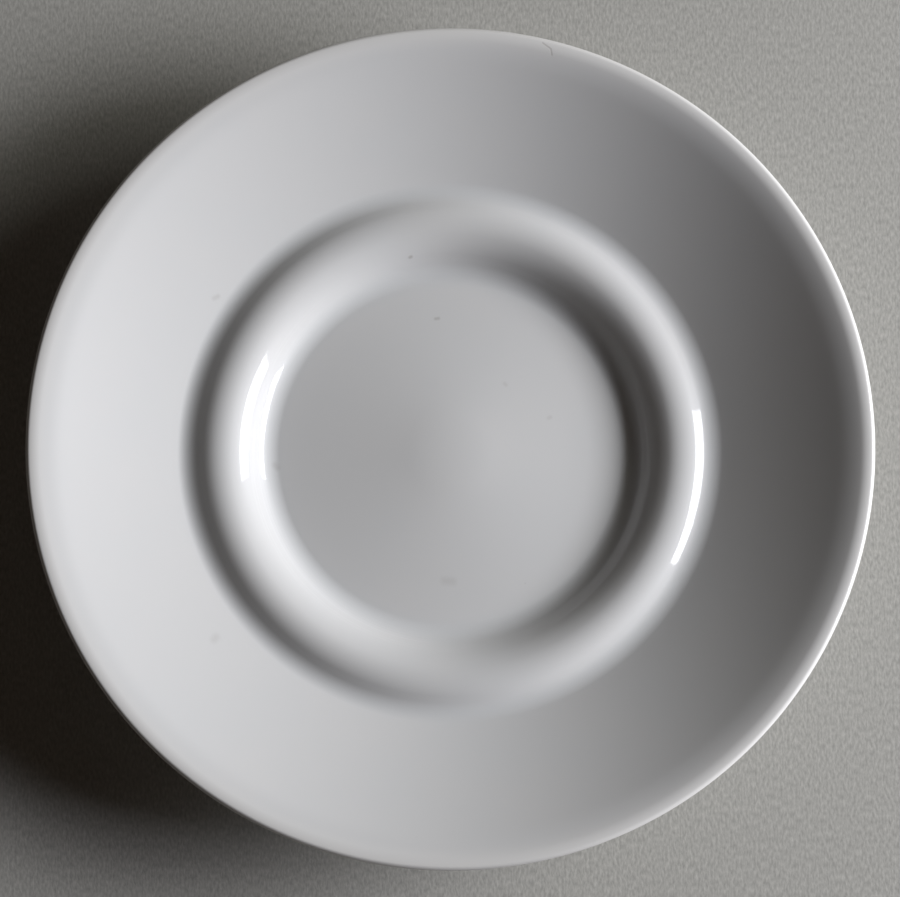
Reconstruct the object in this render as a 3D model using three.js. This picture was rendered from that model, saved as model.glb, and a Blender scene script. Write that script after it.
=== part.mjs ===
// Saucer: a fired porcelain body, coated with glaze all over but for its bare foot ring.
// Millimetres and degrees, +Z up. The origin is the centre of the foot ring, on the plane it stands on.

import * as THREE from 'three';

// Overall
const SAUCER_DIAMETER = 150; // over the glazed rim
const GLAZE_THICKNESS = 0.3;

// Well: a floor that falls gently from its crowned middle to a groove
const BASE_THICKNESS = 3; // between the well and the recess under it
const CROWN_RADIUS = 8; // axis to where the rounded middle becomes a plain cone
const FLOOR_FALL_ANGLE = 4.7; // fall of that cone
const WELL_RADIUS = 31.2; // axis to the groove's lowest line
const GROOVE_FILLET = 5.2;

// Raised ring round the well
const INNER_WALL_ANGLE = 44.3;
const INNER_WALL_LENGTH = 1.7;
const SHOULDER_RADIUS = 9.7; // eases the inner wall towards the crest
const SHOULDER_END_ANGLE = 21.5;
const CREST_RADIUS = 5.9;
const OUTER_WALL_ANGLE = 28;
const OUTER_WALL_LENGTH = 1.1;

// Flange that rises from the ring to the lip
const VALLEY_FILLET = 4.7; // rounds the valley between the ring and the flange
const FLANGE_ANGLE = 21.4; // beside the ring
const FLANGE_STEEPENING_ANGLE = 6.3; // added to that angle on the way to the lip
const FLANGE_ROOT_THICKNESS = 3.5; // under the valley's lowest line
const LIP_EASE_RADIUS = 29; // slackens the flange again before the lip
const LIP_EASE_ANGLE = 19.8; // where that ends
const LIP_SHOULDER_RADIUS = 5; // levels the flange at the lip
const LIP_EDGE_RADIUS = 0.5; // half of the lip's thickness, before glazing

// Underside and foot ring
const UNDERSIDE_BEND = 10; // levels the flange's underside below the ring
const FOOT_OFFSET = 3.5; // groove's lowest line to the middle of the foot ring
const FOOT_WIDTH = 2.2; // flat that the saucer stands on
const FOOT_TAPER_ANGLE = 10; // lean of the foot's two walls
const FOOT_EDGE_RADIUS = 0.8;
const FOOT_FILLET = 2.5; // outer wall of the foot to the underside
const RECESS_FILLET = 1.6; // inner wall of the foot to the recess
const RECESS_DEPTH = 3; // foot plane to the recess, at its edge

// Facets
const AROUND = 48; // flat facets round the axis
const CHORD_ERROR = 0.06; // most that a facet departs from an arc of the outline

// Headings of the pen below
const INWARDS = -180;
const DOWN = -90;
const UP = -270;

const sine = (degrees) => Math.sin(THREE.MathUtils.degToRad(degrees));
const cosine = (degrees) => Math.cos(THREE.MathUtils.degToRad(degrees));

// Draws an outline in the plane of radius and height from lines and arcs that run on smoothly.
// Heading 0 runs outwards and 90 straight up. The porcelain lies on the pen's right.
class OutlinePen {
  constructor(radius, height, heading) {
    this.position = new THREE.Vector2(radius, height);
    this.heading = heading;
    this.points = [];
    this.addPoint();
  }

  // Unit vector out of the porcelain
  normal() {
    return new THREE.Vector2(-sine(this.heading), cosine(this.heading));
  }

  addPoint() {
    this.points.push({ position: this.position.clone(), normal: this.normal() });
  }

  line(length) {
    this.position.x += length * cosine(this.heading);
    this.position.y += length * sine(this.heading);
    this.addPoint();
  }

  lineToRadius(radius) {
    this.line((radius - this.position.x) / cosine(this.heading));
  }

  lineToHeight(height) {
    this.line((height - this.position.y) / sine(this.heading));
  }

  arc(radius, endHeading) {
    const startHeading = this.heading;
    const sweep = endHeading - startHeading;
    const toCentre = radius * Math.sign(sweep);
    const centre = this.position.clone().addScaledVector(this.normal(), toCentre);
    const widestStep = 2 * Math.acos(1 - CHORD_ERROR / radius);
    const steps = Math.ceil(THREE.MathUtils.degToRad(Math.abs(sweep)) / widestStep);
    for (let step = 1; step <= steps; step += 1) {
      this.heading = startHeading + (sweep * step) / steps;
      this.position.copy(centre).addScaledVector(this.normal(), -toCentre);
      this.addPoint();
    }
  }

  // Arc of the size that ends at this radius
  arcToRadius(radius, endHeading) {
    const reach = radius - this.position.x;
    this.arc(Math.abs(reach / (sine(endHeading) - sine(this.heading))), endHeading);
  }
}

const crownCurve = CROWN_RADIUS / sine(FLOOR_FALL_ANGLE);
const footRadius = WELL_RADIUS + FOOT_OFFSET;
const footEdgeHeight = FOOT_EDGE_RADIUS * (1 - sine(FOOT_TAPER_ANGLE));
const footEdgeReach = FOOT_WIDTH / 2 + FOOT_EDGE_RADIUS * cosine(FOOT_TAPER_ANGLE);

// Recess inside the foot ring, from the foot's inner edge to the axis, parallel to the floor of the well
function drawRecess() {
  const pen = new OutlinePen(footRadius - footEdgeReach, footEdgeHeight, UP + FOOT_TAPER_ANGLE);
  const filletRise = RECESS_FILLET * (cosine(FLOOR_FALL_ANGLE) - sine(FOOT_TAPER_ANGLE));
  pen.lineToHeight(RECESS_DEPTH - filletRise);
  pen.arc(RECESS_FILLET, INWARDS - FLOOR_FALL_ANGLE);
  pen.lineToRadius(CROWN_RADIUS);
  pen.arc(crownCurve, INWARDS);
  return pen.points;
}

// Well, ring, flange, lip and underside, from the axis to the foot's outer edge
function drawShowSide(centreHeight) {
  const pen = new OutlinePen(0, centreHeight, 0);

  pen.arc(crownCurve, -FLOOR_FALL_ANGLE);
  pen.lineToRadius(WELL_RADIUS - GROOVE_FILLET * sine(FLOOR_FALL_ANGLE));
  pen.arc(GROOVE_FILLET, INNER_WALL_ANGLE);
  pen.line(INNER_WALL_LENGTH);
  pen.arc(SHOULDER_RADIUS, SHOULDER_END_ANGLE);
  pen.arc(CREST_RADIUS, -OUTER_WALL_ANGLE);
  pen.line(OUTER_WALL_LENGTH);

  pen.arc(VALLEY_FILLET, 0);
  const flangeRoot = pen.position.clone();
  flangeRoot.y -= FLANGE_ROOT_THICKNESS;
  pen.arc(VALLEY_FILLET, FLANGE_ANGLE);
  const steepestAngle = FLANGE_ANGLE + FLANGE_STEEPENING_ANGLE;
  const lipRadius = SAUCER_DIAMETER / 2 - GLAZE_THICKNESS - LIP_EDGE_RADIUS;
  const shoulderReach = LIP_SHOULDER_RADIUS * sine(LIP_EASE_ANGLE);
  const easeReach = LIP_EASE_RADIUS * (sine(steepestAngle) - sine(LIP_EASE_ANGLE));
  pen.arcToRadius(lipRadius - shoulderReach - easeReach, steepestAngle);
  pen.arc(LIP_EASE_RADIUS, LIP_EASE_ANGLE);
  pen.arc(LIP_SHOULDER_RADIUS, 0);

  // The flange's underside leaves the lip's round edge on a tangent and ends under the valley
  const lipCentre = pen.position.clone();
  lipCentre.y -= LIP_EDGE_RADIUS;
  const span = lipCentre.clone().sub(flangeRoot);
  const tangentAngle = span.angle() - Math.asin(LIP_EDGE_RADIUS / span.length());
  pen.arc(LIP_EDGE_RADIUS, DOWN);
  pen.arc(LIP_EDGE_RADIUS, INWARDS + THREE.MathUtils.radToDeg(tangentAngle));
  pen.lineToRadius(flangeRoot.x);
  pen.arc(UNDERSIDE_BEND, INWARDS);

  const filletDrop = FOOT_FILLET * (1 - sine(FOOT_TAPER_ANGLE));
  const wallHeight = pen.position.y - filletDrop - footEdgeHeight;
  const wallLean = (wallHeight * sine(FOOT_TAPER_ANGLE)) / cosine(FOOT_TAPER_ANGLE);
  pen.lineToRadius(footRadius + footEdgeReach + wallLean + FOOT_FILLET * cosine(FOOT_TAPER_ANGLE));
  pen.arc(FOOT_FILLET, DOWN - FOOT_TAPER_ANGLE);
  pen.lineToHeight(footEdgeHeight);
  return pen.points;
}

// Bare foot: the flat that the saucer stands on, between two rounded edges
function drawFoot() {
  const pen = new OutlinePen(footRadius + footEdgeReach, footEdgeHeight, DOWN - FOOT_TAPER_ANGLE);
  pen.arc(FOOT_EDGE_RADIUS, INWARDS);
  pen.line(FOOT_WIDTH);
  pen.arc(FOOT_EDGE_RADIUS, UP + FOOT_TAPER_ANGLE);
  return pen.points;
}

const onBody = (points) => points.map(({ position }) => position);
const onGlaze = (points) =>
  points.map(({ position, normal }) => position.clone().addScaledVector(normal, GLAZE_THICKNESS));

// Turns an outline, which has its solid on the right, round the saucer's axis
function revolve(name, outline, material) {
  const geometry = new THREE.LatheGeometry(outline.reverse(), AROUND);
  geometry.rotateX(Math.PI / 2);
  const mesh = new THREE.Mesh(geometry, material);
  mesh.name = name;
  return mesh;
}

const porcelain = new THREE.MeshStandardMaterial({ color: 0xeeebe3, roughness: 0.75, metalness: 0 });
const glaze = new THREE.MeshStandardMaterial({ color: 0xf1f2f3, roughness: 0.08, metalness: 0 });

const recess = drawRecess();
const recessTop = recess.at(-1).position.y;
const showSide = drawShowSide(recessTop + BASE_THICKNESS);
const foot = drawFoot();

const bodyOutline = [...onBody(showSide), ...onBody(foot).slice(1), ...onBody(recess).slice(1)];
const coatOutline = [...onGlaze(showSide), ...onBody(showSide).reverse()];
const baseOutline = [...onBody(recess).reverse(), ...onGlaze(recess)];

const saucer = new THREE.Group();
saucer.name = 'saucer';
saucer.add(revolve('porcelain_body', bodyOutline, porcelain));
saucer.add(revolve('glaze_coat', coatOutline, glaze));
saucer.add(revolve('base_glaze', baseOutline, glaze));

export default saucer;
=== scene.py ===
"""Saucer: turns the finished porcelain and its glaze, and sets up a plain stage."""

from collections import namedtuple
from math import acos, asin, atan2, ceil, copysign, cos, pi, radians, sin

import bmesh
import bpy
from bpy.props import FloatProperty, FloatVectorProperty, IntProperty, PointerProperty
from bpy.types import NodeSocket, Operator, Panel, PropertyGroup
from mathutils import Matrix, Vector


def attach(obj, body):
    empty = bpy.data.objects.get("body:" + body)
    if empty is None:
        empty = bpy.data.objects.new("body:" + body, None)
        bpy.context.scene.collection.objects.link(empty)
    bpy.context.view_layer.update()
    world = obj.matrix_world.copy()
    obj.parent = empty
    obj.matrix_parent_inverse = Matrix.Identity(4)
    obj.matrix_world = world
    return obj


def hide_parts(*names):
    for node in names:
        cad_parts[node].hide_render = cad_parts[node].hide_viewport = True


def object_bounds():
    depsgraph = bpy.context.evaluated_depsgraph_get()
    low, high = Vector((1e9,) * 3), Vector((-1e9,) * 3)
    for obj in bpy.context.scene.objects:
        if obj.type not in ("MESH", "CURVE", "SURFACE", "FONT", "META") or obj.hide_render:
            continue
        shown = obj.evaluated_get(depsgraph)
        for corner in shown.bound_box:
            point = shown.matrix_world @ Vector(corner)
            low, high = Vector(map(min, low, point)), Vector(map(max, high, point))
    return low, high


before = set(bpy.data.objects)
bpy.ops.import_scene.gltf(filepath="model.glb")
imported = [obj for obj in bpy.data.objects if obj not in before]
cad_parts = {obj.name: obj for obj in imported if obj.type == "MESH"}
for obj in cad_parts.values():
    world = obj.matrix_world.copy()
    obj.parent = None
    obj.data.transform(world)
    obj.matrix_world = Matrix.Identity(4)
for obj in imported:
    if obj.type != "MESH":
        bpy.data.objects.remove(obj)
CAD_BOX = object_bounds()

bl_info = {
    "name": "Saucer",
    "version": (1, 0, 0),
    "blender": (4, 5, 0),
    "location": "3D View > Sidebar > Saucer",
    "description": "Builds a glazed porcelain saucer and the plain stage that shows it",
    "category": "Object",
}

MM = 0.001
MICRON = 1e-6
WELD = MICRON  # vertices closer than this are one
FINISHED_FACET = 2 * MICRON  # most that a facet of a visible arc departs from it
HIDDEN_FACET = 20 * MICRON  # the same where glaze covers the porcelain

# Headings of the outline pen
INWARDS = -pi
DOWN = -pi / 2
UP = -3 * pi / 2

# Sockets of the Mix node when it mixes colours
MIX_FACTOR, MIX_FROM, MIX_TO, MIX_RESULT = 0, 6, 7, 2

# Where the values of the Noise node mostly lie
NOISE_LOW, NOISE_MIDDLE, NOISE_HIGH = 0.3, 0.5, 0.7


# Sizes and colours

def length(name, millimetres, description):
    """A length, given in millimetres."""
    return FloatProperty(name=name, description=description, default=millimetres * MM, min=0.0,
                         precision=5, subtype="DISTANCE", unit="LENGTH")


def angle(name, in_degrees, description):
    """An angle, given in degrees."""
    return FloatProperty(name=name, description=description, default=radians(in_degrees),
                         subtype="ANGLE", unit="ROTATION")


def share(name, value, description):
    """A share from 0 to 1."""
    return FloatProperty(name=name, description=description, default=value, min=0.0, max=1.0,
                         subtype="FACTOR")


def power(name, watts, description):
    """The power of a lamp, in watts."""
    return FloatProperty(name=name, description=description, default=watts, min=0.0,
                         subtype="POWER", unit="POWER")


def colour(name, value, description):
    """A colour in linear light."""
    return FloatVectorProperty(name=name, description=description, default=(*value, 1.0), size=4,
                               min=0.0, max=1.0, subtype="COLOR")


class SaucerShape(PropertyGroup):
    diameter: length("Diameter", (CAD_BOX[1].x - CAD_BOX[0].x) / MM, "Over the glazed rim")
    glaze: length("Glaze", 0.3, "Thickness of the glaze")
    around: IntProperty(name="Facets around", description="Flat facets round the axis",
                        default=240, min=24)

    base: length("Base", 3.0, "Porcelain between the well and the recess under it")
    crown: length("Crown", 8.0, "Axis to where the rounded middle of the well becomes a plain cone")
    floor_fall: angle("Floor fall", 4.7, "Slope of that cone")
    well: length("Well", 31.2, "Axis to the lowest line of the groove round the well")
    groove: length("Groove", 5.2, "Round of the groove")

    inner_wall: angle("Inner wall", 44.3, "Slope of the raised ring towards the well")
    inner_wall_length: length("Inner wall length", 1.7, "Straight stretch of that slope")
    shoulder: length("Shoulder", 9.7, "Round that eases the inner wall towards the crest")
    shoulder_end: angle("Shoulder end", 21.5, "Slope where the crest begins")
    crest: length("Crest", 5.9, "Round of the ring's crest")
    outer_wall: angle("Outer wall", 28.0, "Slope of the raised ring towards the flange")
    outer_wall_length: length("Outer wall length", 1.1, "Straight stretch of that slope")

    valley: length("Valley", 4.7, "Round of the valley between the ring and the flange")
    flange: angle("Flange", 21.4, "Slope of the flange beside the ring")
    flange_steepening: angle("Flange steepening", 6.3, "Added to that slope on the way to the lip")
    flange_root: length("Flange root", 3.5, "Porcelain under the valley's lowest line")
    lip_ease: length("Lip ease", 29.0, "Round that slackens the flange again before the lip")
    lip_ease_end: angle("Lip ease end", 19.8, "Slope where that round ends")
    lip_shoulder: length("Lip shoulder", 5.0, "Round that levels the flange at the lip")
    lip_edge: length("Lip edge", 0.5, "Half of the lip's thickness, before glazing")

    underside_bend: length("Underside bend", 10.0, "Round that levels the underside below the ring")
    foot_offset: length("Foot offset", 3.5, "Groove's lowest line to the middle of the foot ring")
    foot_width: length("Foot width", 2.2, "Flat that the saucer stands on")
    foot_taper: angle("Foot taper", 10.0, "Lean of the foot's two walls")
    foot_edge: length("Foot edge", 0.8, "Round of the foot's two edges")
    foot_fillet: length("Foot fillet", 2.5, "Outer wall of the foot to the underside")
    recess_fillet: length("Recess fillet", 1.6, "Inner wall of the foot to the recess")
    recess_depth: length("Recess depth", 3.0, "Foot plane to the recess, at its edge")


class SaucerFinish(PropertyGroup):
    glaze_colour: colour("Glaze", (0.722, 0.72, 0.717), "White porcelain seen through clear glaze")
    pooled_colour: colour("Pooled glaze", (0.69, 0.702, 0.71), "Where the glaze has run together")
    # Painted light: a paler band round the lip that stands in for light glowing through the thin
    # porcelain, not a colour of the glaze
    painted_lip_light_colour: colour("Thin lip", (0.81, 0.80, 0.785),
                        "Where the porcelain thins out and looks paler")
    speck_colour: colour("Speck", (0.30, 0.27, 0.24), "Specks fired into the surface")
    glaze_roughness: share("Glaze roughness", 0.04, "Roughness of the clean glaze")
    worn_roughness: share("Worn roughness", 0.12, "Roughness where cups have stood")
    haze: share("Haze", 0.6, "Strength of the soft sheen round the glaze's highlights")
    haze_roughness: share("Haze roughness", 0.4, "Roughness of that sheen")
    glaze_ior: FloatProperty(name="Glaze index", description="Refractive index of the glaze",
                             default=1.5, min=1.0)
    ripple: length("Ripple", 0.006, "Height of the glaze's long ripple")
    turning: length("Turning lines", 0.02, "Height of the lines turned in the ring's inner wall")
    turning_spacing: length("Turning spacing", 0.45, "Distance between those lines")

    body_colour: colour("Bare porcelain", (0.76, 0.73, 0.675), "Fired porcelain without glaze")
    grime_colour: colour("Foot grime", (0.42, 0.39, 0.35), "Grey rubbed into the foot by tables")
    body_roughness: share("Bare roughness", 0.62, "Roughness of the bare porcelain")
    grit: length("Grit", 0.02, "Height of the bare porcelain's grit")


class SaucerStage(PropertyGroup):
    floor_colour: colour("Floor", (0.443, 0.436, 0.409), "Plain pale floor")
    background_colour: colour("Background", (0.08, 0.078, 0.076),
                              "Seen past the floor and in the glaze")
    room_colour: colour("Room light", (0.0228, 0.0175, 0.0136), "Dim light from all round")
    window_colour: colour("Window light", (0.927, 0.933, 1.0), "Colour of the soft window light")
    window_power: power("Window power", 3.34, "Power of the window light")
    window_width: length("Window width", 470, "Level side of the window light")
    window_height: length("Window height", 290, "Rising side of the window light")
    window_distance: length("Window distance", 830, "Saucer to the window light")
    window_azimuth: angle("Window azimuth", -1.0, "Direction of the window light, from X towards Y")
    window_elevation: angle("Window elevation", 23.9, "Rise of the window light above the horizon")
    glow_colour: colour("Glow light", (0.99, 1.0, 0.944), "Colour of the wide glow by the window")
    glow_power: power("Glow power", 1.99, "Power of that glow")
    glow_width: length("Glow width", 600, "Level side of the glow")
    glow_height: length("Glow height", 400, "Rising side of the glow")
    glow_distance: length("Glow distance", 900, "Saucer to the glow")
    glow_azimuth: angle("Glow azimuth", 14.0, "Direction of the glow, from X towards Y")
    glow_elevation: angle("Glow elevation", 24.0, "Rise of the glow above the horizon")
    lamp_spread: angle("Lamp spread", 120.0, "Widest angle at which the lamps' grids let light out")
    camera_distance: length("Camera distance", 581, "Lip's middle to the camera")
    camera_tilt: angle("Camera tilt", 7.5, "Camera's lean from straight above")
    camera_turn: angle("Camera turn", 4.6, "Direction of that lean, from -Y towards -X")
    camera_lens: FloatProperty(name="Lens", description="Focal length in millimetres",
                               default=131.7, min=1.0)
    aim: FloatVectorProperty(name="Aim", description="Saucer's place in the picture, right and up",
                             default=(0.06 * MM, -0.18 * MM), size=2,
                             subtype="TRANSLATION", unit="LENGTH")


# Outlines

class OutlinePen:
    """Draws a wire of lines and arcs that run on smoothly, in the plane of radius and height.

    Heading 0 runs outwards and a quarter turn straight up. The porcelain lies on the pen's right,
    and the wire runs at the height lift above it.
    """

    def __init__(self, mesh, radius, height, heading, lift=0.0, facet=FINISHED_FACET):
        self.mesh = mesh
        self.position = Vector((radius, 0.0, height))
        self.heading = heading
        self.lift = lift
        self.facet = facet
        self.tip = mesh.verts.new(self.position + self.normal() * lift)

    def direction(self):
        return Vector((cos(self.heading), 0.0, sin(self.heading)))

    def normal(self):
        return Vector((-sin(self.heading), 0.0, cos(self.heading)))

    def line(self, distance):
        stretch = self.direction() * distance
        self.position += stretch
        self.tip = bmesh.ops.extrude_vert_indiv(self.mesh, verts=[self.tip])["verts"][0]
        bmesh.ops.translate(self.mesh, verts=[self.tip], vec=stretch)

    def line_to_radius(self, radius):
        self.line((radius - self.position.x) / cos(self.heading))

    def line_to_height(self, height):
        self.line((height - self.position.z) / sin(self.heading))

    def turn(self, centre, radius, sweep):
        """Swings the wire's end round a centre."""
        steps = ceil(abs(sweep) / (2 * acos(1 - self.facet / radius)))
        swung = bmesh.ops.spin(self.mesh, geom=[self.tip], cent=centre, axis=(0.0, -1.0, 0.0),
                               angle=sweep, steps=steps)
        self.tip = next(part for part in swung["geom_last"] if isinstance(part, bmesh.types.BMVert))

    def arc(self, radius, heading):
        sweep = heading - self.heading
        to_centre = copysign(radius, sweep)
        centre = self.position + self.normal() * to_centre
        self.turn(centre, abs(to_centre - self.lift), sweep)
        self.heading = heading
        self.position = centre - self.normal() * to_centre

    def arc_to_radius(self, radius, heading):
        """Arc of the size that ends at this radius."""
        self.arc(abs((radius - self.position.x) / (sin(heading) - sin(self.heading))), heading)

    def swell(self, thickness):
        """Rounds the glaze's edge up from the porcelain to its full thickness."""
        self.position += self.direction() * thickness
        self.turn(self.position, thickness, -pi / 2)
        self.lift = thickness

    def taper_off(self):
        """Rounds the glaze's edge down to the porcelain."""
        self.turn(self.position, self.lift, -pi / 2)


FootRing = namedtuple("FootRing", "inner outer edge_height")


def foot_ring(shape):
    """Where the foot's walls meet its rounded edges."""
    middle = shape.well + shape.foot_offset
    reach = shape.foot_width / 2 + shape.foot_edge * cos(shape.foot_taper)
    return FootRing(middle - reach, middle + reach, shape.foot_edge * (1 - sin(shape.foot_taper)))


def crown_curve(shape):
    return shape.crown / sin(shape.floor_fall)


def draw_recess(mesh, shape, glaze=0.0, facet=FINISHED_FACET):
    """Recess inside the foot ring, from the foot's inner edge to the axis."""
    foot = foot_ring(shape)
    pen = OutlinePen(mesh, foot.inner, foot.edge_height, UP + shape.foot_taper, facet=facet)
    if glaze:
        pen.swell(glaze)
    fillet_rise = shape.recess_fillet * (cos(shape.floor_fall) - sin(shape.foot_taper))
    pen.line_to_height(shape.recess_depth - fillet_rise)
    pen.arc(shape.recess_fillet, INWARDS - shape.floor_fall)
    pen.line_to_radius(shape.crown)
    pen.arc(crown_curve(shape), INWARDS)
    return pen.position.z


def recess_top(shape):
    """Height of the recess on the axis."""
    sketch = bmesh.new()
    top = draw_recess(sketch, shape, facet=HIDDEN_FACET)
    sketch.free()
    return top


def draw_show_side(mesh, shape, glaze=0.0, facet=FINISHED_FACET):
    """Well, ring, flange, lip and underside, from the axis to the foot's outer edge."""
    pen = OutlinePen(mesh, 0.0, recess_top(shape) + shape.base, 0.0, glaze, facet)

    pen.arc(crown_curve(shape), -shape.floor_fall)
    pen.line_to_radius(shape.well - shape.groove * sin(shape.floor_fall))
    pen.arc(shape.groove, shape.inner_wall)
    pen.line(shape.inner_wall_length)
    pen.arc(shape.shoulder, shape.shoulder_end)
    pen.arc(shape.crest, -shape.outer_wall)
    pen.line(shape.outer_wall_length)

    pen.arc(shape.valley, 0.0)
    flange_root = pen.position - Vector((0.0, 0.0, shape.flange_root))
    pen.arc(shape.valley, shape.flange)
    steepest = shape.flange + shape.flange_steepening
    lip_radius = shape.diameter / 2 - shape.glaze - shape.lip_edge
    shoulder_reach = shape.lip_shoulder * sin(shape.lip_ease_end)
    ease_reach = shape.lip_ease * (sin(steepest) - sin(shape.lip_ease_end))
    pen.arc_to_radius(lip_radius - shoulder_reach - ease_reach, steepest)
    pen.arc(shape.lip_ease, shape.lip_ease_end)
    pen.arc(shape.lip_shoulder, 0.0)

    # The flange's underside leaves the lip's round edge on a tangent and ends under the valley
    span = pen.position - Vector((0.0, 0.0, shape.lip_edge)) - flange_root
    tangent = atan2(span.z, span.x) - asin(shape.lip_edge / span.length)
    pen.arc(shape.lip_edge, DOWN)
    pen.arc(shape.lip_edge, INWARDS + tangent)
    pen.line_to_radius(flange_root.x)
    pen.arc(shape.underside_bend, INWARDS)

    foot = foot_ring(shape)
    fillet_drop = shape.foot_fillet * (1 - sin(shape.foot_taper))
    wall_height = pen.position.z - fillet_drop - foot.edge_height
    wall_lean = wall_height * sin(shape.foot_taper) / cos(shape.foot_taper)
    pen.line_to_radius(foot.outer + wall_lean + shape.foot_fillet * cos(shape.foot_taper))
    pen.arc(shape.foot_fillet, DOWN - shape.foot_taper)
    pen.line_to_height(foot.edge_height + glaze * cos(shape.foot_taper))
    if glaze:
        pen.taper_off()


def draw_foot(mesh, shape):
    """Bare foot: the flat that the saucer stands on, between two rounded edges."""
    foot = foot_ring(shape)
    pen = OutlinePen(mesh, foot.outer, foot.edge_height, DOWN - shape.foot_taper)
    pen.arc(shape.foot_edge, INWARDS)
    pen.line(shape.foot_width)
    pen.arc(shape.foot_edge, UP + shape.foot_taper)


def turn_piece(context, mesh, name, node, material):
    """Turns a closed outline round the axis into a piece that stands for a CAD node."""
    bmesh.ops.spin(mesh, geom=mesh.verts[:] + mesh.edges[:], cent=(0.0, 0.0, 0.0),
                   axis=(0.0, 0.0, 1.0), angle=2 * pi,
                   steps=context.scene.saucer_shape.around, use_merge=True)
    bmesh.ops.remove_doubles(mesh, verts=mesh.verts, dist=WELD)
    bmesh.ops.recalc_face_normals(mesh, faces=mesh.faces)
    data = bpy.data.meshes.new(name)
    mesh.to_mesh(data)
    mesh.free()
    data.shade_smooth()
    data.materials.append(material)
    piece = bpy.data.objects.new(name, data)
    context.collection.objects.link(piece)
    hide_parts(node)
    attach(piece, "root")


# Shader nodes

class NodeBench:
    """Adds nodes to a node tree and wires them up."""

    def __init__(self, tree):
        self.tree = tree

    def put(self, socket, value):
        if isinstance(value, NodeSocket):
            self.tree.links.new(value, socket)
        else:
            socket.default_value = value

    def add(self, kind, inputs=None, **settings):
        node = self.tree.nodes.new("ShaderNode" + kind)
        for name, value in settings.items():
            setattr(node, name, value)
        for socket, value in (inputs or {}).items():
            self.put(node.inputs[socket], value)
        return node

    def place(self):
        return self.add("TexCoord").outputs["Object"]

    def math(self, operation, first, second=0.0):
        return self.add("Math", {0: first, 1: second}, operation=operation).outputs[0]

    def vector(self, operation, first, second=(0.0, 0.0, 0.0)):
        return self.add("VectorMath", {0: first, 1: second}, operation=operation)

    def fade(self, value, width):
        """1 at zero, easing to 0 at the width."""
        ranged = {"Value": value, "From Min": 0.0, "From Max": width, "To Min": 1.0, "To Max": 0.0}
        return self.add("MapRange", ranged, interpolation_type="SMOOTHSTEP").outputs["Result"]

    def mix(self, factor, from_colour, to_colour):
        inputs = {MIX_FACTOR: factor, MIX_FROM: from_colour, MIX_TO: to_colour}
        return self.add("Mix", inputs, data_type="RGBA").outputs[MIX_RESULT]

    def group(self, tree, **inputs):
        named = {name.replace("_", " ").capitalize(): value for name, value in inputs.items()}
        node = self.add("Group", node_tree=tree)
        for socket, value in named.items():
            self.put(node.inputs[socket], value)
        return node.outputs[0]


def new_group(name, output, **inputs):
    """A node group with one value out, its bench, its inputs and the socket for the value."""
    tree = bpy.data.node_groups.new(name, "ShaderNodeTree")
    for socket, kind in inputs.items():
        label = socket.replace("_", " ").capitalize()
        tree.interface.new_socket(name=label, in_out="INPUT", socket_type="NodeSocket" + kind)
    tree.interface.new_socket(name=output, in_out="OUTPUT", socket_type="NodeSocketFloat")
    bench = NodeBench(tree)
    given = tree.nodes.new("NodeGroupInput").outputs
    result = tree.nodes.new("NodeGroupOutput").inputs[0]
    return tree, bench, given, result


def ring_mask_group():
    """A soft band round the axis."""
    tree, bench, given, result = new_group("ring_mask", "Mask", radius="Float", half_width="Float")
    level = bench.vector("MULTIPLY", bench.place(), (1.0, 1.0, 0.0)).outputs["Vector"]
    reach = bench.vector("LENGTH", level).outputs["Value"]
    off = bench.math("ABSOLUTE", bench.math("SUBTRACT", reach, given["Radius"]))
    bench.put(result, bench.fade(off, given["Half width"]))
    return tree


def turning_group():
    """Fine uneven lines that turning leaves round the axis."""
    tree, bench, given, result = new_group("turning_lines", "Height", spacing="Float")
    level = bench.vector("MULTIPLY", bench.place(), (1.0, 1.0, 0.0)).outputs["Vector"]
    rings = bench.math("DIVIDE", bench.vector("LENGTH", level).outputs["Value"], given["Spacing"])
    noise = bench.add("TexNoise", {"W": rings, "Scale": 1.0, "Detail": 1.0}, noise_dimensions="1D")
    bench.put(result, bench.math("SUBTRACT", noise.outputs[0], NOISE_MIDDLE))
    return tree


def grain_group():
    """Cloudy grain between two values."""
    tree, bench, given, result = new_group("grain", "Value", scale="Float", detail="Float",
                                           low="Float", high="Float")
    drawn = {"Vector": bench.place(), "Scale": given["Scale"], "Detail": given["Detail"]}
    noise = bench.add("TexNoise", drawn)
    ranged = {"Value": noise.outputs[0], "From Min": NOISE_LOW, "From Max": NOISE_HIGH,
              "To Min": given["Low"], "To Max": given["High"]}
    bench.put(result, bench.add("MapRange", ranged).outputs["Result"])
    return tree


def speck_group():
    """Sparse specks, in this share of the cells."""
    tree, bench, given, result = new_group("kiln_specks", "Mask", scale="Float", size="Float",
                                           share="Float")
    cells = bench.add("TexVoronoi", {"Vector": bench.place(), "Scale": given["Scale"]})
    draw = bench.add("SeparateColor", {"Color": cells.outputs["Color"]}).outputs[0]
    drawn = bench.math("LESS_THAN", draw, given["Share"])
    dots = bench.fade(cells.outputs["Distance"], given["Size"])
    bench.put(result, bench.math("MULTIPLY", dots, drawn))
    return tree


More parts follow.
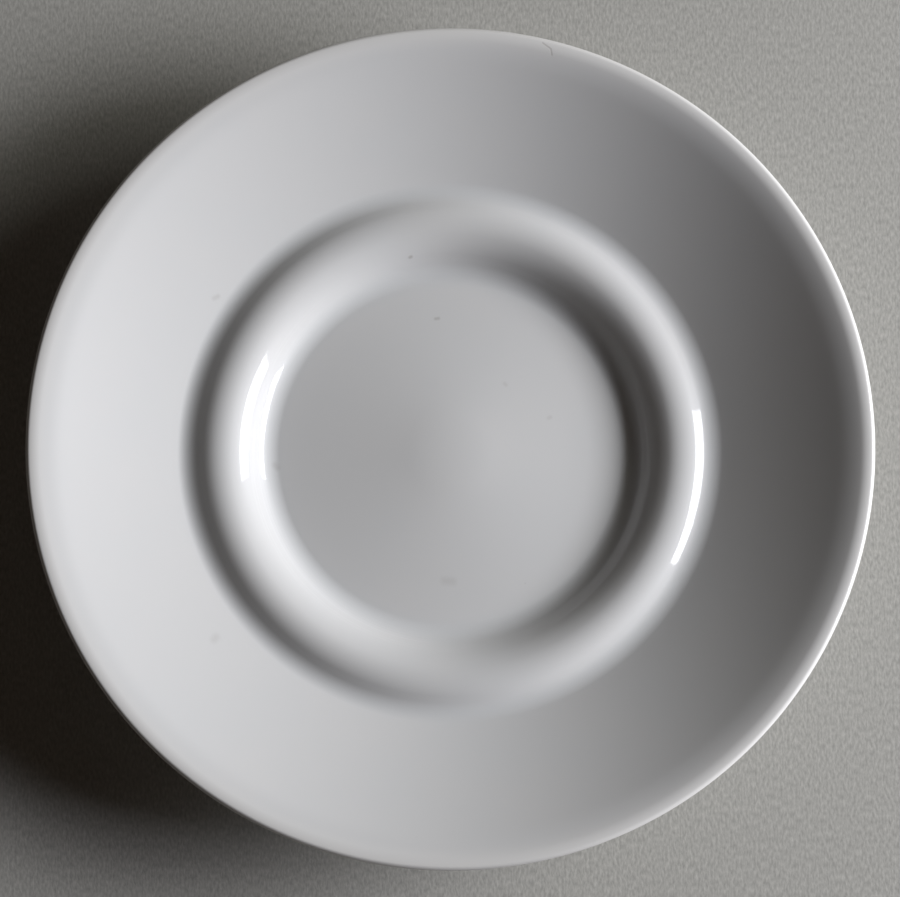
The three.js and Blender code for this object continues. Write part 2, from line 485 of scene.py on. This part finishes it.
def scratch_group():
    """A soft line between two points, or a dot where they are close."""
    tree, bench, given, result = new_group("scratch", "Mask", start="Vector", end="Vector",
                                           half_width="Float")
    along = bench.vector("SUBTRACT", given["End"], given["Start"]).outputs["Vector"]
    away = bench.vector("SUBTRACT", bench.place(), given["Start"]).outputs["Vector"]
    reach = bench.vector("DOT_PRODUCT", away, along).outputs["Value"]
    whole = bench.vector("DOT_PRODUCT", along, along).outputs["Value"]
    part = bench.add("Clamp", {"Value": bench.math("DIVIDE", reach, whole)}).outputs["Result"]
    foot = bench.add("VectorMath", {0: along, "Scale": part}, operation="SCALE").outputs["Vector"]
    gap = bench.vector("DISTANCE", away, foot).outputs["Value"]
    bench.put(result, bench.fade(gap, given["Half width"]))
    return tree


# Finishes

Band = namedtuple("Band", "offset half_width")
Grain = namedtuple("Grain", "scale detail low high")
Specks = namedtuple("Specks", "scale size share")
Mark = namedtuple("Mark", "start end half_width darkness")

# Bands of the glaze, counted outwards from the groove's lowest line
GROOVE_POOL = Band(1.2 * MM, 3.2 * MM)
VALLEY_POOL = Band(16 * MM, 2.6 * MM)
TURNED_WALL = Band(3.5 * MM, 2.5 * MM)
CUP_WEAR = Band(-5 * MM, 5 * MM)

# Bands centred on the rim and on the foot; the rim's band is painted light, a paler lip that stands
# in for light glowing through the thin porcelain
PAINTED_LIP_LIGHT = Band(0.0, 4.5 * MM)
RUBBED_FOOT = Band(0.0, 1.5 * MM)

# Cloudy grains and what their values stand for
POOLING = Grain(70.0, 3.0, 0.0, 0.35)  # share of pooled glaze
RUBBING = Grain(900.0, 4.0, 0.0, 1.0)  # share of the wear
GLOSS = Grain(45.0, 4.0, 0.7, 1.5)  # times the clean glaze's roughness
LONG_RIPPLE = Grain(55.0, 1.0, 0.0, 1.0)  # times the ripple's height
PEEL = Grain(420.0, 1.0, 0.0, 0.06)  # times the ripple's height
STAINING = Grain(260.0, 5.0, 0.0, 0.25)  # share of grime on the bare porcelain
SMEARS = Grain(140.0, 6.0, -0.2, 0.9)  # share of grime on the foot
POLISH = Grain(300.0, 4.0, 0.85, 1.25)  # times the bare porcelain's roughness
GRIT = Grain(2600.0, 3.0, 0.0, 1.0)  # times the grit's height

# Specks: cells in a metre, size in cells and share of the cells that hold one
GLAZE_SPECKS = Specks(150.0, 0.022, 0.10)
BODY_SPECKS = Specks(500.0, 0.07, 0.12)

POOLED_SHARE = 0.7  # most that a pool shows of the pooled colour
GLAZE_SPECK_DARKNESS = 0.5
BODY_SPECK_DARKNESS = 0.6
GRIT_STRENGTH = 0.8

# Specks and smudges on the well, the ring and the flange, in millimetres
SHOW_MARKS = (
    Mark((-7.30, 35.32, 9.10), (-7.10, 35.40, 9.16), 0.55, 0.45),
    Mark((-2.65, 24.42, 6.84), (-2.10, 24.50, 6.83), 0.50, 0.35),
    Mark((-1.00, -23.30, 6.95), (0.40, -23.40, 6.94), 1.30, 0.14),
    Mark((9.84, 12.44, 7.56), (10.10, 12.20, 7.56), 0.60, 0.16),
    Mark((17.80, 6.20, 7.31), (18.10, 6.35, 7.29), 0.60, 0.16),
    Mark((-31.60, -2.30, 6.34), (-31.20, -2.80, 6.33), 0.95, 0.18),
    Mark((-42.60, 27.45, 10.62), (-41.90, 27.80, 10.58), 0.75, 0.20),
    Mark((-42.00, -34.30, 12.08), (-41.60, -33.80, 11.95), 1.20, 0.16),
)

# Hairline in the lip: its corners, half width and depth in millimetres
HAIRLINE = ((16.43, 72.15, 20.97), (17.87, 71.07, 20.89), (18.06, 70.03, 20.63))
HAIRLINE_HALF_WIDTH = 0.26
HAIRLINE_DEPTH = 0.012
HAIRLINE_DARKNESS = 0.36


def new_material(name):
    """A material with its bench and its shader."""
    material = bpy.data.materials.new(name)
    material.use_nodes = True
    bench = NodeBench(material.node_tree)
    return material, bench, material.node_tree.nodes["Principled BSDF"]


def shared_group(name, build):
    """A node group that is built the first time it is asked for."""
    return bpy.data.node_groups.get(name) or build()


def strongest(bench, masks):
    result = masks[0]
    for mask in masks[1:]:
        result = bench.math("MAXIMUM", result, mask)
    return result


def band_mask(bench, start, band):
    """A band of the surface, counted outwards from a radius."""
    tree = shared_group("ring_mask", ring_mask_group)
    return bench.group(tree, radius=start + band.offset, half_width=band.half_width)


def grain_value(bench, grain, times=1.0):
    """Cloudy grain, with its range times a factor."""
    tree = shared_group("grain", grain_group)
    return bench.group(tree, scale=grain.scale, detail=grain.detail,
                       low=grain.low * times, high=grain.high * times)


def speck_mask(bench, specks):
    """Specks strewn over the whole surface."""
    tree = shared_group("kiln_specks", speck_group)
    return bench.group(tree, scale=specks.scale, size=specks.size, share=specks.share)


def scratch_mask(bench, start, end, half_width):
    """A soft line or dot, placed in millimetres."""
    tree = shared_group("scratch", scratch_group)
    return bench.group(tree, start=tuple(Vector(start) * MM), end=tuple(Vector(end) * MM),
                       half_width=half_width * MM)


def hairline_mask(bench):
    """The bent hairline in the lip."""
    return strongest(bench, [scratch_mask(bench, start, end, HAIRLINE_HALF_WIDTH)
                             for start, end in zip(HAIRLINE, HAIRLINE[1:])])


def glaze_hue(bench, shape, finish, hair):
    """White that cools where the glaze has pooled, with dark marks and a paler band of painted
    light round the lip, standing in for light glowing through the thin porcelain.
    """
    pooled_colour, speck_colour = tuple(finish.pooled_colour), tuple(finish.speck_colour)
    pooled = strongest(bench, [band_mask(bench, shape.well, GROOVE_POOL),
                               band_mask(bench, shape.well, VALLEY_POOL)])
    hue = bench.mix(grain_value(bench, POOLING), tuple(finish.glaze_colour), pooled_colour)
    hue = bench.mix(bench.math("MULTIPLY", pooled, POOLED_SHARE), hue, pooled_colour)
    # Painted light: the lip is painted paler, standing in for light glowing through the thin
    # porcelain
    lip = band_mask(bench, shape.diameter / 2, PAINTED_LIP_LIGHT)
    hue = bench.mix(lip, hue, tuple(finish.painted_lip_light_colour))

    dots = [bench.math("MULTIPLY", speck_mask(bench, GLAZE_SPECKS), GLAZE_SPECK_DARKNESS)]
    for mark in SHOW_MARKS:
        smudge = scratch_mask(bench, mark.start, mark.end, mark.half_width)
        dots.append(bench.math("MULTIPLY", smudge, mark.darkness))
    hue = bench.mix(strongest(bench, dots), hue, speck_colour)
    return bench.mix(bench.math("MULTIPLY", hair, HAIRLINE_DARKNESS), hue, speck_colour)


def glaze_roughness(bench, shape, finish):
    """Gloss that is rubbed dull where cups have stood."""
    wear = bench.math("MULTIPLY", band_mask(bench, shape.well, CUP_WEAR),
                      grain_value(bench, RUBBING))
    dulled = bench.math("MULTIPLY", wear, finish.worn_roughness - finish.glaze_roughness)
    return bench.math("ADD", grain_value(bench, GLOSS, finish.glaze_roughness), dulled)


def glaze_normal(bench, shape, finish, hair):
    """Ripples of the glaze, turning lines on the ring's inner wall and the hairline."""
    tree = shared_group("turning_lines", turning_group)
    lines = bench.math("MULTIPLY", bench.group(tree, spacing=finish.turning_spacing),
                       band_mask(bench, shape.well, TURNED_WALL))
    lines = bench.math("MULTIPLY", lines, finish.turning / finish.ripple)
    crack = bench.math("MULTIPLY", hair, HAIRLINE_DEPTH * MM / finish.ripple)
    height = bench.math("ADD", grain_value(bench, LONG_RIPPLE), grain_value(bench, PEEL))
    height = bench.math("SUBTRACT", bench.math("ADD", height, lines), crack)
    bump = bench.add("Bump", {"Distance": finish.ripple, "Height": height})
    return bump.outputs["Normal"]


def glaze_material(shape, finish):
    """Clear gloss glaze over white porcelain, made once for both coats."""
    made = bpy.data.materials.get("gloss_glaze")
    if made:
        return made
    material, bench, shader = new_material("gloss_glaze")
    hair = hairline_mask(bench)
    bench.put(shader.inputs["Base Color"], glaze_hue(bench, shape, finish, hair))
    bench.put(shader.inputs["Roughness"], glaze_roughness(bench, shape, finish))
    bench.put(shader.inputs["Normal"], glaze_normal(bench, shape, finish, hair))
    shader.inputs["IOR"].default_value = finish.glaze_ior
    shader.inputs["Coat Weight"].default_value = finish.haze
    shader.inputs["Coat Roughness"].default_value = finish.haze_roughness
    return material


def bare_material(shape, finish):
    """Fired porcelain without glaze, rubbed grey where it stands."""
    material, bench, shader = new_material("matt_porcelain")
    grime_colour = tuple(finish.grime_colour)
    hue = bench.mix(grain_value(bench, STAINING), tuple(finish.body_colour), grime_colour)
    stood = band_mask(bench, shape.well + shape.foot_offset, RUBBED_FOOT)
    smears = bench.add("Clamp", {"Value": grain_value(bench, SMEARS)}).outputs["Result"]
    hue = bench.mix(bench.math("MULTIPLY", stood, smears), hue, grime_colour)
    dots = bench.math("MULTIPLY", speck_mask(bench, BODY_SPECKS), BODY_SPECK_DARKNESS)
    bench.put(shader.inputs["Base Color"], bench.mix(dots, hue, tuple(finish.speck_colour)))

    bench.put(shader.inputs["Roughness"], grain_value(bench, POLISH, finish.body_roughness))
    bump = bench.add("Bump", {"Strength": GRIT_STRENGTH, "Distance": finish.grit,
                              "Height": grain_value(bench, GRIT)})
    bench.put(shader.inputs["Normal"], bump.outputs["Normal"])
    return material


# Operators

class SAUCER_OT_porcelain(Operator):
    """Turn the fired porcelain body with its bare foot"""
    bl_idname = "saucer.porcelain"
    bl_label = "Porcelain body"

    def execute(self, context):
        shape, finish = context.scene.saucer_shape, context.scene.saucer_finish
        mesh = bmesh.new()
        draw_show_side(mesh, shape, facet=HIDDEN_FACET)
        draw_foot(mesh, shape)
        draw_recess(mesh, shape, facet=HIDDEN_FACET)
        turn_piece(context, mesh, "fired_porcelain", "porcelain_body",
                   bare_material(shape, finish))
        return {"FINISHED"}


class SAUCER_OT_show_glaze(Operator):
    """Coat the well, the ring, the flange and the underside with glaze"""
    bl_idname = "saucer.show_glaze"
    bl_label = "Glaze coat"

    def execute(self, context):
        shape, finish = context.scene.saucer_shape, context.scene.saucer_finish
        mesh = bmesh.new()
        draw_show_side(mesh, shape, shape.glaze)
        draw_show_side(mesh, shape, facet=HIDDEN_FACET)
        turn_piece(context, mesh, "show_glaze", "glaze_coat",
                   glaze_material(shape, finish))
        return {"FINISHED"}


class SAUCER_OT_recess_glaze(Operator):
    """Coat the recess inside the foot ring with glaze"""
    bl_idname = "saucer.recess_glaze"
    bl_label = "Recess glaze"

    def execute(self, context):
        shape, finish = context.scene.saucer_shape, context.scene.saucer_finish
        mesh = bmesh.new()
        draw_recess(mesh, shape, shape.glaze)
        draw_recess(mesh, shape, facet=HIDDEN_FACET)
        turn_piece(context, mesh, "recess_glaze", "base_glaze",
                   glaze_material(shape, finish))
        return {"FINISHED"}


class SAUCER_OT_stage(Operator):
    """Set up the floor, the lamps, the room light and the camera"""
    bl_idname = "saucer.stage"
    bl_label = "Stage"

    FLOOR_HALF = 3.0
    FLOOR_GAP = 10 * MICRON
    FLOOR_ROUGHNESS = 0.9
    FLOOR_SHEEN = 0.1
    FIBRES_PER_METRE = (2200.0, 900.0, 900.0)
    FIBRE_DETAIL = 2.0
    FIBRE_HEIGHT = 34 * MICRON
    FIBRE_TONE = 0.4  # share by which the fibres are lighter or darker than the floor
    SENSOR_WIDTH = 36.0

    def execute(self, context):
        stage = context.scene.saucer_stage
        self.make_floor(context, stage)
        self.make_lamp(context, stage, "window")
        glow = self.make_lamp(context, stage, "glow")
        glow.visible_glossy = False  # too dim to show in the glaze
        self.make_room(context, stage)
        self.make_camera(context, stage)
        context.scene.view_settings.view_transform = "Standard"
        return {"FINISHED"}

    def make_floor(self, context, stage):
        mesh = bmesh.new()
        bmesh.ops.create_grid(mesh, x_segments=1, y_segments=1, size=self.FLOOR_HALF)
        bmesh.ops.translate(mesh, verts=mesh.verts, vec=(0.0, 0.0, -self.FLOOR_GAP))
        data = bpy.data.meshes.new("floor")
        mesh.to_mesh(data)
        mesh.free()
        floor = bpy.data.objects.new("floor", data)
        context.collection.objects.link(floor)

        material, bench, shader = new_material("floor_paper")
        drawn_out = bench.add("Mapping", {"Vector": bench.place(), "Scale": self.FIBRES_PER_METRE})
        fibres = bench.add("TexNoise", {"Vector": drawn_out.outputs["Vector"], "Scale": 1.0,
                                        "Detail": self.FIBRE_DETAIL})
        tone = Vector(stage.floor_colour)
        dark, light = tone * (1 - self.FIBRE_TONE), tone * (1 + self.FIBRE_TONE)
        hue = bench.mix(fibres.outputs[0], tuple(dark), tuple(light))
        bench.put(shader.inputs["Base Color"], hue)
        bump = bench.add("Bump", {"Distance": self.FIBRE_HEIGHT, "Height": fibres.outputs[0]})
        bench.put(shader.inputs["Normal"], bump.outputs["Normal"])
        shader.inputs["Roughness"].default_value = self.FLOOR_ROUGHNESS
        shader.inputs["Specular IOR Level"].default_value = self.FLOOR_SHEEN
        data.materials.append(material)

    def make_lamp(self, context, stage, name):
        """A soft lamp from the settings that begin with its name."""
        def setting(of):
            return getattr(stage, f"{name}_{of}")

        lamp = bpy.data.lights.new(name, "AREA")
        lamp.shape = "RECTANGLE"
        lamp.size, lamp.size_y = setting("width"), setting("height")
        lamp.spread = stage.lamp_spread
        lamp.energy = setting("power")
        lamp.color = setting("colour")[:3]
        holder = bpy.data.objects.new(name, lamp)
        azimuth, elevation = setting("azimuth"), setting("elevation")
        level = cos(elevation)
        towards = Vector((cos(azimuth) * level, sin(azimuth) * level, sin(elevation)))
        holder.location = towards * setting("distance") + Vector((0.0, 0.0, CAD_BOX[1].z / 2))
        holder.rotation_euler = towards.to_track_quat("Z", "Y").to_euler()
        context.collection.objects.link(holder)
        return holder

    def make_room(self, context, stage):
        room = bpy.data.worlds.new("room")
        room.use_nodes = True
        bench = NodeBench(room.node_tree)
        path = bench.add("LightPath")
        seen = bench.math("MAXIMUM", path.outputs["Is Camera Ray"], path.outputs["Is Glossy Ray"])
        seen = bench.math("MAXIMUM", seen, path.outputs["Is Transmission Ray"])
        hue = bench.mix(seen, tuple(stage.room_colour), tuple(stage.background_colour))
        bench.put(room.node_tree.nodes["Background"].inputs["Color"], hue)
        context.scene.world = room

    def make_camera(self, context, stage):
        tilt, turn = stage.camera_tilt, stage.camera_turn
        back = Vector((-sin(tilt) * sin(turn), -sin(tilt) * cos(turn), cos(tilt)))
        right = Vector((0.0, 1.0, 0.0)).cross(back).normalized()
        up = back.cross(right)
        # The lip's circle looks centred a little towards the camera from its true centre
        radius = CAD_BOX[1].x
        nearness = radius ** 2 * sin(tilt) * cos(tilt) / stage.camera_distance
        near = Vector((-sin(turn), -cos(turn), 0.0)) * nearness
        shape = context.scene.saucer_shape
        lip = Vector((0.0, 0.0, CAD_BOX[1].z - shape.lip_edge - shape.glaze))
        target = lip + near - right * stage.aim[0] - up * stage.aim[1]
        lens = bpy.data.cameras.new("camera")
        lens.lens = stage.camera_lens
        lens.sensor_width = self.SENSOR_WIDTH
        camera = bpy.data.objects.new("camera", lens)
        place = Matrix((right, up, back)).transposed().to_4x4()
        place.translation = target + back * stage.camera_distance
        camera.matrix_world = place
        context.collection.objects.link(camera)
        context.scene.camera = camera


class SAUCER_PT_panel(Panel):
    """Sizes, finishes and steps of the saucer"""
    bl_idname = "SAUCER_PT_panel"
    bl_label = "Saucer"
    bl_space_type = "VIEW_3D"
    bl_region_type = "UI"
    bl_category = "Saucer"

    def draw(self, context):
        layout = self.layout
        for step in STEPS:
            layout.operator(step.bl_idname)
        for group, settings in SETTINGS.items():
            box = layout.box()
            for name in settings.__annotations__:
                box.prop(getattr(context.scene, group), name)


STEPS = (SAUCER_OT_porcelain, SAUCER_OT_show_glaze, SAUCER_OT_recess_glaze, SAUCER_OT_stage)
SETTINGS = {"saucer_shape": SaucerShape, "saucer_finish": SaucerFinish, "saucer_stage": SaucerStage}
CLASSES = (*SETTINGS.values(), *STEPS, SAUCER_PT_panel)


def register():
    for each in CLASSES:
        bpy.utils.register_class(each)
    for name, settings in SETTINGS.items():
        setattr(bpy.types.Scene, name, PointerProperty(type=settings))


def unregister():
    for name in SETTINGS:
        delattr(bpy.types.Scene, name)
    for each in reversed(CLASSES):
        bpy.utils.unregister_class(each)


def main():
    register()
    bpy.ops.saucer.porcelain()
    bpy.ops.saucer.show_glaze()
    bpy.ops.saucer.recess_glaze()
    bpy.ops.saucer.stage()


if __name__ == "__main__":
    main()
